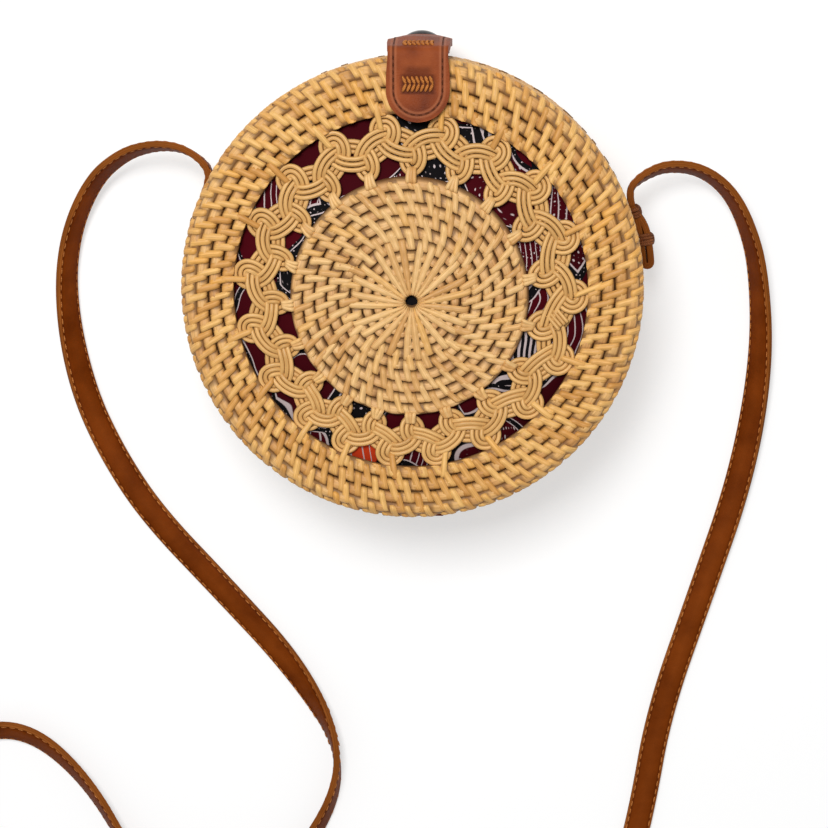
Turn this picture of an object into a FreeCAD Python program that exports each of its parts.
import FreeCAD, Part
import math
import os

Vector = FreeCAD.Vector

# The bag lies on its back, with +Z out of the front face and +Y towards the clasp.
# The origin is the middle of the back.
# All sizes are millimetres.

# Woven body
bag_diameter = 200.0
bag_depth = 80.0
wall_thickness = 5.0
panel_thickness = 5.0
edge_round = 6.0
coil_pitch = 5.6
coil_bump = 1.5
rim_crown = 1.2
half_gap = 0.3
back_start_radius = 6.0

# Openwork front
ring_width = 24.0
lace_width = 24.0
medallion_drop = 0.5
medallion_edge = 0.8
spoke_share = 0.5
centre_hole_radius = 2.5
spoke_count = 26
spoke_width = 2.7
spoke_thickness = 0.7
spoke_side_gap = 0.25
cane_diameter = 1.9
canes_in_bundle = 3
lace_repeats = 19
loop_eye_radius = 0.8
lace_side_gap = 0.25
lace_floor_gap = 0.1
outer_arc_offset = 8.5
inner_arc_offset = 8.0
lace_turn = 2.3
tie_width = 2.7
tie_thickness = 0.6
inner_tie_width = 2.2
tie_side_gap = 0.2

# Lining
lining_thickness = 0.6
lining_gap = 0.15
lining_hem = 1.0

# Clasp
seat_gap = 0.1
clasp_width = 27.0
clasp_thickness = 3.0
tab_length = 28.2
flap_axis_inset = 4.0
clasp_shift = 2.8
flap_overhang = 0.6
flap_bend_radius = 0.6
flap_lean = 14.0
snap_drop = 9.5
flap_open_angle = 110.0
fold_gap = 0.3
snap_radius = 6.0
snap_half_height = 1.6
snap_gap = 0.3
snap_cap_radius = 6.8
snap_cap_height = 2.2
snap_post_radius = 1.6
snap_post_gap = 0.1
back_tab_thickness = 1.5
back_tab_width = 24.0
back_tab_margin = 3.0
back_tab_corner = 5.0

# Thread tacks
tack_length = 12.0
tack_row_height = 3.0
tack_stitches = 8
thread_thickness = 0.5
thread_width = 0.8
thread_slant = 0.6
tack_setback = 3.5

# Leather hinge at the bottom edge
hinge_width = 27.0
hinge_thickness = 2.0
hinge_leaf = 20.0
lid_open_angle = 120.0

# Shoulder strap
strap_width = 10.5
strap_thickness = 3.0
strap_height = 28.5
strap_floor_gap = 0.25
strap_tail_angle = 4.6
strap_exit_left = 21.8
strap_exit_right = 18.9
strap_knots_left = (15.5, 9.6)
strap_knots_right = (17.3, 10.0)
knot_cord = 1.2
knot_turns = 3
knot_pitch = 1.5
knot_margin = 0.8

bag_radius = bag_diameter / 2
inner_radius = bag_radius - wall_thickness
opening_radius = bag_radius - ring_width
medallion_radius = opening_radius - lace_width
core_radius = medallion_radius * spoke_share
split_height = bag_depth / 2
meeting_edge = split_height - half_gap / 2
wall_reach = meeting_edge - edge_round
corner_reach = edge_round * math.pi / 2
front_inside = bag_depth - panel_thickness
lining_radius = inner_radius - lining_gap
bundle_width = cane_diameter * canes_in_bundle
loop_radius = loop_eye_radius + bundle_width
repeat_angle = 360.0 / lace_repeats
outer_bundle_reach = medallion_radius + outer_arc_offset
inner_bundle_reach = opening_radius - inner_arc_offset
strap_seat = bag_radius + seat_gap
strap_middle = strap_seat + strap_thickness / 2
strap_low = strap_floor_gap + strap_width / 2

# Points of the free strap between its two sewn ends, in order from the left end to the right end.
# The two end points follow the sewn ends; the third number of the rest is the height above the lowest lie.
STRAP_POINTS = [
    (-93.4, 51.7, 22.5), (-99.4, 57.0, 21.5), (-107.5, 60.6, 20.0), (-118.5, 61.0, 17.5),
    (-131.5, 56.8, 13.5), (-146.5, 44.5, 8.5), (-158.5, 18.5, 3.5), (-162.0, -18.0, 0.5),
    (-148.5, -62.0, 0.0), (-118.0, -106.0, 0.0), (-83.0, -151.0, 0.0), (-53.0, -197.0, 0.0),
    (-37.0, -234.0, 0.0), (-44.0, -267.0, 0.0), (-66.0, -290.0, 0.0), (-98.0, -295.0, 0.0),
    (-128.0, -280.0, 0.0), (-156.0, -244.0, 0.0), (-187.0, -218.0, 0.0), (-215.0, -220.0, 0.0),
    (-233.0, -242.0, 0.0), (-228.0, -274.0, 0.0), (-202.0, -298.0, 0.0), (-162.0, -311.0, 0.0),
    (-110.0, -316.0, 0.0), (-50.0, -316.0, 0.0), (8.0, -311.0, 0.0), (60.0, -301.0, 0.0),
    (96.0, -284.0, 0.0), (109.0, -258.0, 0.0), (118.3, -208.0, 0.0), (133.5, -152.0, 0.0),
    (153.0, -93.0, 0.0), (163.5, -38.0, 0.0), (160.0, 5.0, 2.5), (150.5, 28.0, 6.5),
    (139.0, 42.0, 10.5), (127.0, 50.5, 14.5), (114.0, 53.4, 18.0), (103.5, 51.2, 20.5),
    (96.2, 46.6, 22.0),
]
STRAP_LEAD = 7.0
ARC_SHARE = 0.45


def flat(x, z):
    """A point of a profile in the XZ plane."""
    return Vector(x, 0, z)


def line(a, b):
    return Part.LineSegment(a, b).toShape()


def chain(points):
    """Straight edges through the points, in order."""
    return [line(a, b) for a, b in zip(points, points[1:])]


def scallop(a, b, rows, height):
    """Round bumps from a to b, one per coil row, swelling to the left of the way from a to b."""
    along = b.sub(a)
    side = Vector(-along.z, 0, along.x)
    side.normalize()
    edges = []
    for row in range(rows):
        first = a + along * (row / rows)
        last = a + along * ((row + 1) / rows)
        top = (first + last) * 0.5 + side * height
        edges.append(Part.Arc(first, top, last).toShape())
    return edges


def row_count(length):
    return max(1, round(length / coil_pitch))


def turned(edges):
    """A solid of revolution about the bag's axis from the edges of a closed profile."""
    face = Part.Face(Part.Wire(Part.__sortEdges__(edges)))
    solid = face.revolve(Vector(0, 0, 0), Vector(0, 0, 1), 360)
    return Part.Solid(solid) if solid.ShapeType == "Shell" else solid


def tube(inner, outer, low, high):
    solid = Part.makeCylinder(outer, high - low, Vector(0, 0, low))
    return solid.cut(Part.makeCylinder(inner, high - low, Vector(0, 0, low)))


def disc(radius, low, high):
    return Part.makeCylinder(radius, high - low, Vector(0, 0, low))


def to_front(shape):
    """Mirror a piece of the back half into the front half."""
    return shape.mirror(Vector(0, 0, split_height), Vector(0, 0, 1))


def block(low, high):
    return Part.makeBox(high.x - low.x, high.y - low.y, high.z - low.z, low)


def around(shape, count, step, start=0.0):
    """Copies of a shape turned about the bag's axis, from a starting angle."""
    copies = []
    for index in range(count):
        copy = shape.copy()
        copy.rotate(Vector(0, 0, 0), Vector(0, 0, 1), start + index * step)
        copies.append(copy)
    return copies


def outline(way):
    """Point of a half's outer surface, at a way from the meeting edge, and the direction out of it."""
    inwards = way - wall_reach - corner_reach
    if inwards > 0:
        return flat(bag_radius - edge_round - inwards, 0), flat(0, -1)
    turn = max(0, way - wall_reach) / edge_round
    out = flat(math.cos(turn), -math.sin(turn))
    centre = flat(bag_radius - edge_round, meeting_edge - min(way, wall_reach))
    return centre + out * edge_round, out


def valley(way):
    """Bottom of the groove between two coil rows."""
    point, out = outline(way)
    return point - out * coil_bump


def levels(start, end):
    """Ways from the meeting edge at which evenly spaced coil rows start and end."""
    rows = row_count(end - start)
    return [start + (end - start) * row / rows for row in range(rows + 1)]


def wall_levels():
    """Rows from the meeting edge to the middle of the rounded corner."""
    return levels(0, wall_reach + corner_reach / 2)


def face_levels(last_radius):
    """Rows of a face, from the last row of the wall round the corner and in to a radius."""
    corner_row = wall_levels()[-2:]
    last = wall_reach + corner_reach + bag_radius - edge_round - last_radius
    return corner_row[:1] + levels(corner_row[1], last)


def coil(row_levels):
    """One round row between each two levels."""
    edges = []
    for start, end in zip(row_levels, row_levels[1:]):
        crown = outline((start + end) / 2)[0]
        edges.append(Part.Arc(valley(start), crown, valley(end)).toShape())
    return edges


def face(last_radius, inside_points):
    """A face with its rounded corner: coil rows outside, and the given points back along its inside."""
    rows = face_levels(last_radius)
    corner = valley(rows[0])
    points = [valley(rows[-1])] + inside_points
    points += [flat(inner_radius, panel_thickness), flat(inner_radius, corner.z), corner]
    return turned(coil(rows) + chain(points))


def back_panel():
    middle = [flat(back_start_radius, 0), flat(0, 0), flat(0, panel_thickness)]
    return face(back_start_radius, middle)


def front_ring():
    return to_front(face(opening_radius, [flat(opening_radius, panel_thickness)]))


def wall():
    rows = wall_levels()[1:-1]
    head = valley(rows[0])
    foot = valley(rows[-1])
    inside = [flat(inner_radius, foot.z), flat(inner_radius, head.z)]
    return turned(coil(rows) + chain([foot] + inside + [head]))


def rim():
    """The row at the meeting edge, with a round lip."""
    foot = valley(wall_levels()[1])
    shoulder = flat(foot.x, meeting_edge - rim_crown)
    inside = flat(inner_radius, meeting_edge - rim_crown)
    edges = scallop(foot, shoulder, 1, -coil_bump)
    edges += scallop(shoulder, inside, 1, -rim_crown)
    edges += chain([inside, flat(inner_radius, foot.z), foot])
    return turned(edges)


def lining_disc():
    low = panel_thickness + lining_gap
    return disc(lining_radius, low, low + lining_thickness)


def lining_wall():
    low = panel_thickness + 2 * lining_gap + lining_thickness
    high = meeting_edge - rim_crown - lining_hem
    return tube(lining_radius - lining_thickness, lining_radius, low, high)


def medallion():
    top = bag_depth - medallion_drop
    bottom = front_inside + lace_floor_gap
    low = top - coil_bump
    start = flat(core_radius, low)
    end = flat(medallion_radius - medallion_edge, low)
    rows = row_count(end.x - start.x)
    edges = scallop(start, end, rows, coil_bump)
    foot = flat(medallion_radius - medallion_edge, bottom)
    edges += scallop(end, foot, 1, medallion_edge)
    edges += chain([foot, flat(core_radius, bottom), start])
    return turned(edges)


def core_top():
    return bag_depth - medallion_drop - spoke_thickness


def medallion_core():
    bottom = front_inside + lace_floor_gap
    return tube(centre_hole_radius, core_radius - lace_side_gap, bottom, core_top())


def medallion_spokes():
    """Flat strips from the hole outwards, narrowed where they crowd together at the middle."""
    step = 360.0 / spoke_count
    half = spoke_width / 2
    spread = math.tan(math.radians(step / 2))
    near = centre_hole_radius + spoke_width / 2
    side = spoke_side_gap / 2
    knee = (half + side) / spread
    far = core_radius - lace_side_gap
    narrow = near * spread - side
    outline = [(near, -narrow), (knee, -half), (far, -half), (far, half), (knee, half), (near, narrow)]
    points = [Vector(x, y, core_top()) for x, y in outline + outline[:1]]
    strip = Part.Face(Part.makePolygon(points)).extrude(Vector(0, 0, spoke_thickness))
    return Part.makeCompound(around(strip, spoke_count, step))


def lace_bundle(loop_at, reach, low, start):
    """One flat bundle of canes: a loop at each repeat, and an arc to the next that swings to reach."""
    half = bundle_width / 2
    turn = math.radians(repeat_angle)
    first = Vector(loop_at, 0, low)
    last = Vector(loop_at * math.cos(turn), loop_at * math.sin(turn), low)
    middle = Vector(reach * math.cos(turn / 2), reach * math.sin(turn / 2), low)
    centre = Part.Arc(first, middle, last).toShape().Curve.Center
    bend = first.sub(centre).Length
    ring = Part.makeCylinder(bend + half, cane_diameter, centre)
    ring = ring.cut(Part.makeCylinder(bend - half, cane_diameter, centre))
    wedge = Part.makePolygon([centre, centre + (first - centre) * 2, centre + (middle - centre) * 4,
                              centre + (last - centre) * 2, centre])
    arc = ring.common(Part.Face(wedge).extrude(Vector(0, 0, cane_diameter)))
    loop = Part.makeCylinder(loop_radius, cane_diameter, first)
    eye = Part.makeCylinder(loop_eye_radius, cane_diameter, first)
    arcs = around(arc, lace_repeats, repeat_angle, start)
    loops = around(loop, lace_repeats, repeat_angle, start)
    band = arcs[0].multiFuse(arcs[1:] + loops)
    band = band.cut(Part.makeCompound(around(eye, lace_repeats, repeat_angle, start)))
    return band.removeSplitter()


def lace_low():
    return front_inside + lace_floor_gap


def lace_inner_bundle():
    loop_at = medallion_radius + lace_side_gap + loop_radius
    return lace_bundle(loop_at, inner_bundle_reach, lace_low(), lace_turn + repeat_angle / 2)


def lace_outer_bundle():
    loop_at = opening_radius - lace_side_gap - loop_radius
    return lace_bundle(loop_at, outer_bundle_reach, lace_low() + cane_diameter, lace_turn)


def lace_ties_outer():
    """Strips from the ring's inner edge over the loops, across the eyes."""
    low = lace_low() + 2 * cane_diameter
    outer = opening_radius - tie_side_gap
    inner = opening_radius - lace_side_gap - loop_radius - loop_eye_radius - tie_width / 2
    strip = block(Vector(inner, -tie_width / 2, low),
                  Vector(outer, tie_width / 2, low + tie_thickness))
    return Part.makeCompound(around(strip, lace_repeats, repeat_angle, lace_turn))


def lace_ties_inner():
    """Short wraps from the middle disc's edge over the inner loops."""
    low = lace_low() + cane_diameter
    inner = medallion_radius + tie_side_gap
    outer = outer_bundle_reach - bundle_width / 2 - tie_side_gap
    strip = block(Vector(inner, -inner_tie_width / 2, low),
                  Vector(outer, inner_tie_width / 2, low + tie_thickness))
    return Part.makeCompound(around(strip, lace_repeats, repeat_angle, lace_turn + repeat_angle / 2))


def strip_across(points, width):
    """A strip with the given closed outline in the YZ plane, centred on the bag's middle plane."""
    wire = Part.makePolygon([Vector(-width / 2, y, z) for y, z in points + points[:1]])
    return Part.Face(wire).extrude(Vector(width, 0, 0))


def flap_axis():
    return Vector(0, bag_radius - flap_axis_inset, bag_depth + seat_gap + clasp_thickness / 2)


def flap_middle():
    """Distance of the hanging leather's middle from the bag's axis, over the patch and the snap."""
    seat = bag_radius + seat_gap + back_tab_thickness
    return seat + 2 * snap_half_height + snap_gap + clasp_thickness / 2


def snap_height():
    return split_height - snap_drop


def back_tab_span():
    """Lowest and highest level of the leather patch: its tack below the snap, and a margin all round."""
    low = snap_height() - snap_radius - 2 * tack_row_height - 2 * back_tab_margin
    return low, snap_height() + snap_radius + back_tab_margin


def fold_cut(open_angle, thickness):
    """How far from a round fold a leather end starts, on its inner and outer side, to clear it open."""
    tilt = math.radians(open_angle - 90)
    reach = thickness / 2 + fold_gap
    inner = (reach - thickness / 2 * math.sin(tilt)) / math.cos(tilt)
    outer = (reach + thickness / 2 * math.sin(tilt)) / math.cos(tilt)
    return inner, outer


def closure_tab():
    """Leather on the front face, round at the lower end and rolled at the fold."""
    axis = flap_axis()
    half = clasp_width / 2
    low = bag_depth + seat_gap
    end = bag_radius - tab_length
    body = block(Vector(-half, end + half, low), Vector(half, axis.y, low + clasp_thickness))
    middle = Vector(0, end + half, low)
    foot = Part.makeCylinder(half, clasp_thickness, middle, Vector(0, 0, 1), 180)
    foot.rotate(middle, Vector(0, 0, 1), 180)
    fold = Part.makeCylinder(clasp_thickness / 2, clasp_width, Vector(-half, axis.y, axis.z),
                             Vector(1, 0, 0))
    return body.multiFuse([foot, fold]).removeSplitter()


def flap_slope():
    """Directions of the leaning stretch below the bend: down along it, and out of its face."""
    lean = math.radians(flap_lean)
    return Vector(0, math.sin(lean), -math.cos(lean)), Vector(0, math.cos(lean), math.sin(lean))


def flap_bend(offset):
    """Top, middle and end of the bend over the bag's edge, at an offset from the leather's middle."""
    radius = flap_bend_radius + clasp_thickness / 2 + offset
    centre = Vector(0, bag_radius + flap_overhang, flap_axis().z - flap_bend_radius - clasp_thickness / 2)
    out = flap_slope()[1]
    half_way = out + Vector(0, 0, 1)
    half_way.normalize()
    return centre + Vector(0, 0, radius), centre + half_way * radius, centre + out * radius


def flap_side(start, offset, end):
    """One face of the flap in profile: over the edge, out to the snap and straight down past it."""
    top, middle, low = flap_bend(offset)
    along = flap_slope()[0]
    face = flap_middle() + offset
    knee = low + along * ((face - low.y) / along.y)
    edges = chain([start, top]) + chain([low, knee, Vector(0, face, end)])
    return edges + [Part.Arc(top, middle, low).toShape()]


def closure_flap():
    """Leather from the fold over the edge and down to the snap, with a round lower end."""
    axis = flap_axis()
    half = clasp_thickness / 2
    inner, outer = fold_cut(flap_open_angle, clasp_thickness)
    hang = flap_middle()
    end = snap_height() - clasp_width / 2
    under = Vector(0, axis.y + inner, axis.z - half)
    over = Vector(0, axis.y + outer, axis.z + half)
    edges = flap_side(under, -half, end) + flap_side(over, half, end)
    edges += chain([under, over]) + chain([Vector(0, hang - half, end), Vector(0, hang + half, end)])
    face = Part.Face(Part.Wire(Part.__sortEdges__(edges)))
    face.translate(Vector(-clasp_width / 2, 0, 0))
    strip = face.extrude(Vector(clasp_width, 0, 0))
    out = Vector(0, 1, 0)
    start = Vector(0, hang - clasp_thickness, snap_height())
    corner = block(Vector(-clasp_width, start.y, end - clasp_width),
                   Vector(clasp_width, hang + clasp_thickness, snap_height()))
    rounding = Part.makeCylinder(clasp_width / 2, 2 * clasp_thickness, start, out)
    hole = Part.makeCylinder(snap_post_radius + snap_post_gap, 2 * clasp_thickness, start, out)
    return strip.cut(corner.cut(rounding)).cut(hole)


def snap_cap():
    """Domed cap on the outside of the flap, with a post through the leather to the stud."""
    face = flap_middle() + clasp_thickness / 2
    centre = Vector(0, face, snap_height())
    ball_radius = (snap_cap_radius ** 2 + snap_cap_height ** 2) / (2 * snap_cap_height)
    ball = Part.makeSphere(ball_radius, Vector(0, face + snap_cap_height - ball_radius, snap_height()))
    dome = ball.common(Part.makeCylinder(2 * snap_cap_radius, snap_cap_height, centre, Vector(0, 1, 0)))
    post = Part.makeCylinder(snap_post_radius, clasp_thickness, centre - Vector(0, clasp_thickness, 0),
                             Vector(0, 1, 0))
    return dome.fuse(post).removeSplitter()


def snap_stud():
    face = flap_middle() - clasp_thickness / 2
    place = Vector(0, face - snap_half_height, snap_height())
    return Part.makeCylinder(snap_radius, snap_half_height, place, Vector(0, 1, 0))


def snap_socket():
    """Fixed half of the snap, with a short post into the leather patch."""
    face = bag_radius + seat_gap + back_tab_thickness
    out = Vector(0, 1, 0)
    body = Part.makeCylinder(snap_radius, snap_half_height, Vector(0, face, snap_height()), out)
    post = Part.makeCylinder(snap_post_radius, back_tab_thickness,
                             Vector(0, face - back_tab_thickness, snap_height()), out)
    return body.fuse(post).removeSplitter()


def back_tab():
    """Leather patch behind the snap's socket, below the line where the halves meet."""
    face = bag_radius + seat_gap
    low, high = back_tab_span()
    half = back_tab_width / 2
    patch = block(Vector(-half, face, low), Vector(half, face + back_tab_thickness, high))
    upright = [edge for edge in patch.Edges if abs(edge.tangentAt(edge.FirstParameter).y) > 0.9]
    patch = patch.makeFillet(back_tab_corner, upright)
    hole = Part.makeCylinder(snap_post_radius + snap_post_gap, back_tab_thickness,
                             Vector(0, face, snap_height()), Vector(0, 1, 0))
    return patch.cut(hole)


def tack(place, along, up, out):
    """Two rows of slanted stitches centred on place, lying on a surface that faces out."""
    pitch = tack_length / tack_stitches
    stitches = []
    for row in (-1, 1):
        for index in range(tack_stitches):
            start = along * ((index - (tack_stitches - 1) / 2) * pitch - thread_width / 2)
            foot = place + start + up * (row * tack_row_height / 2 - tack_row_height * 0.45)
            lean = along * (-row * thread_slant)
            rise = up * (tack_row_height * 0.9)
            corners = [foot, foot + along * thread_width, foot + along * thread_width + rise + lean,
                       foot + rise + lean, foot]
            stitches.append(Part.Face(Part.makePolygon(corners)).extrude(out * thread_thickness))
    return Part.makeCompound(stitches)


def closure_tack():
    place = Vector(0, flap_axis().y - clasp_thickness / 2 - tack_setback - tack_row_height,
                   bag_depth + seat_gap + clasp_thickness)
    return tack(place, Vector(1, 0, 0), Vector(0, 1, 0), Vector(0, 0, 1))


def flap_tack():
    along, out = flap_slope()
    place = flap_bend(clasp_thickness / 2)[2] + along * (tack_row_height + thread_thickness)
    return tack(place, Vector(1, 0, 0), along * -1, out)


def back_tab_tack():
    low, high = back_tab_span()
    place = Vector(0, bag_radius + seat_gap + back_tab_thickness, low + back_tab_margin + tack_row_height)
    return tack(place, Vector(1, 0, 0), Vector(0, 0, 1), Vector(0, 1, 0))


def hinge_axis():
    return Vector(0, -(bag_radius + seat_gap + hinge_thickness / 2), split_height)


def hinge_leather_back():
    """Lower leaf of the leather hinge, rolled at the fold."""
    axis = hinge_axis()
    half = hinge_thickness / 2
    leaf = strip_across([(axis.y - half, axis.z), (axis.y + half, axis.z),
                         (axis.y + half, axis.z - hinge_leaf), (axis.y - half, axis.z - hinge_leaf)],
                        hinge_width)
    fold = Part.makeCylinder(half, hinge_width, Vector(-hinge_width / 2, axis.y, axis.z),
                             Vector(1, 0, 0))
    return leaf.fuse(fold).removeSplitter()


def hinge_leather_front():
    """Upper leaf of the leather hinge, cut on the slant so that the lid can lie back."""
    axis = hinge_axis()
    half = hinge_thickness / 2
    inner, outer = fold_cut(lid_open_angle, hinge_thickness)
    return strip_across([(axis.y + half, axis.z + inner), (axis.y - half, axis.z + outer),
                         (axis.y - half, axis.z + hinge_leaf), (axis.y + half, axis.z + hinge_leaf)],
                        hinge_width)


def hinge_tack(side):
    axis = hinge_axis()
    rise = side * (hinge_leaf - tack_setback - tack_row_height)
    place = Vector(0, axis.y - hinge_thickness / 2, axis.z + rise)
    return tack(place, Vector(1, 0, 0), Vector(0, 0, 1), Vector(0, -1, 0))


def strap_end(exit_angle, side):
    """Sewn end of the strap, folded double along the wall with a round fold at its tail."""
    low = strap_height - strap_width / 2
    fold = 2 * strap_thickness
    inner = flat(strap_seat, low)
    outer = flat(strap_seat + fold, low)
    rise = Vector(0, 0, strap_width)
    corners = [inner, outer, outer + rise, inner + rise, inner]
    axis = Vector(0, 0, 1)
    section = Part.Face(Part.makePolygon(corners))
    piece = section.revolve(Vector(0, 0, 0), axis, exit_angle - strap_tail_angle)
    tail = Part.makeCylinder(strap_thickness, strap_width, flat(strap_seat + strap_thickness, low))
    piece = piece.fuse(tail).removeSplitter()
    piece.rotate(Vector(0, 0, 0), axis, strap_tail_angle)
    return piece if side > 0 else piece.mirror(Vector(0, 0, 0), Vector(1, 0, 0))


def strap_tacks(knot_angles, side):
    """Knots across a sewn end, each of a few turns of cord side by side."""
    face = strap_seat + 2 * strap_thickness
    half = strap_width / 2 - knot_margin
    step = math.degrees(knot_pitch / face)
    turns = []
    for angle in knot_angles:
        for index in range(knot_turns):
            turn = block(Vector(face, -knot_cord / 2, strap_height - half),
                         Vector(face + knot_cord, knot_cord / 2, strap_height + half))
            offset = (index - (knot_turns - 1) / 2) * step
            turn.rotate(Vector(0, 0, 0), Vector(0, 0, 1), angle + offset)
            turns.append(turn)
    group = Part.makeCompound(turns)
    return group if side > 0 else group.mirror(Vector(0, 0, 0), Vector(1, 0, 0))


def strap_leave(exit_angle, side):
    """The point where the strap leaves the wall and the next one along its tangent."""
    angle = math.radians(exit_angle)
    leave = Vector(side * strap_middle * math.cos(angle), strap_middle * math.sin(angle), strap_height)
    tangent = Vector(-side * math.sin(angle), math.cos(angle), 0)
    return leave, leave + tangent * STRAP_LEAD


def strap_route():
    first, second = strap_leave(strap_exit_left, -1)
    last, before = strap_leave(strap_exit_right, 1)
    middle = [Vector(x, y, strap_low + lift) for x, y, lift in STRAP_POINTS]
    return [first, second] + middle + [before, last]


def rounded_path(points):
    """Straight runs joined by tangent arcs, and the radii of the arcs."""
    edges = []
    radii = []
    at = points[0]
    for before, corner, after in zip(points, points[1:], points[2:]):
        come = corner.sub(before)
        go = after.sub(corner)
        share = ARC_SHARE * min(come.Length, go.Length)
        turn = come.getAngle(go)
        radius = share / math.tan(turn / 2)
        come.normalize()
        go.normalize()
        start = corner - come * share
        end = corner + go * share
        inward = go - come
        inward.normalize()
        top = corner + inward * (radius / math.cos(turn / 2) - radius)
        edges.append(line(at, start))
        edges.append(Part.Arc(start, top, end).toShape())
        radii.append(radius)
        at = end
    edges.append(line(at, points[-1]))
    return Part.Wire(edges), radii


def strap():
    """The free strap, standing on its edge along its route."""
    points = strap_route()
    path, radii = rounded_path(points)
    ahead = points[1] - points[0]
    ahead.normalize()
    side = Vector(-ahead.y, ahead.x, 0)
    across = side * (strap_thickness / 2)
    rise = Vector(0, 0, strap_width / 2)
    start = points[0]
    section = Part.makePolygon([start - across - rise, start + across - rise, start + across + rise,
                                start - across + rise, start - across - rise])
    shell = Part.BRepOffsetAPI.MakePipeShell(path)
    shell.setBiNormalMode(Vector(0, 0, 1))
    shell.add(section)
    shell.build()
    shell.makeSolid()
    solid = shell.shape()
    expected = strap_width * strap_thickness * path.Length
    print("strap length %.0f mm, arc radii %s" % (path.Length, " ".join("%.0f" % r for r in radii)))
    print("strap volume %.0f, section times length %.0f" % (solid.Volume, expected))
    return solid


PARTS = {
    "back_panel": back_panel(),
    "back_wall": wall(),
    "back_rim": rim(),
    "back_lining_disc": lining_disc(),
    "back_lining_wall": lining_wall(),
    "back_tab": back_tab(),
    "back_tab_tack": back_tab_tack(),
    "snap_socket": snap_socket(),
    "hinge_leather_back": hinge_leather_back(),
    "hinge_tack_back": hinge_tack(-1),
    "strap": strap(),
    "strap_end_left": strap_end(strap_exit_left, -1),
    "strap_end_right": strap_end(strap_exit_right, 1),
    "strap_tacks_left": strap_tacks(strap_knots_left, -1),
    "strap_tacks_right": strap_tacks(strap_knots_right, 1),
    "front_ring": front_ring(),
    "front_wall": to_front(wall()),
    "front_rim": to_front(rim()),
    "lace_inner_bundle": lace_inner_bundle(),
    "lace_outer_bundle": lace_outer_bundle(),
    "lace_ties_outer": lace_ties_outer(),
    "lace_ties_inner": lace_ties_inner(),
    "medallion": medallion(),
    "medallion_core": medallion_core(),
    "medallion_spokes": medallion_spokes(),
    "front_lining_disc": to_front(lining_disc()),
    "front_lining_wall": to_front(lining_wall()),
    "closure_tab": closure_tab(),
    "closure_tack": closure_tack(),
    "hinge_leather_front": hinge_leather_front(),
    "hinge_tack_front": hinge_tack(1),
    "closure_flap": closure_flap(),
    "flap_tack": flap_tack(),
    "snap_cap": snap_cap(),
    "snap_stud": snap_stud(),
}

# The whole clasp sits a little to one side of the bag's middle plane.
CLASP = ("back_tab", "back_tab_tack", "snap_socket", "closure_tab", "closure_tack", "closure_flap",
         "flap_tack", "snap_cap", "snap_stud")
for node in CLASP:
    PARTS[node].translate(Vector(clasp_shift, 0, 0))

os.makedirs("parts", exist_ok=True)
for node, shape in PARTS.items():
    shape.exportStep("parts/" + node + ".step")
    print("%-20s valid %s solids %d volume %.1f" % (node, shape.isValid(), len(shape.Solids), shape.Volume))
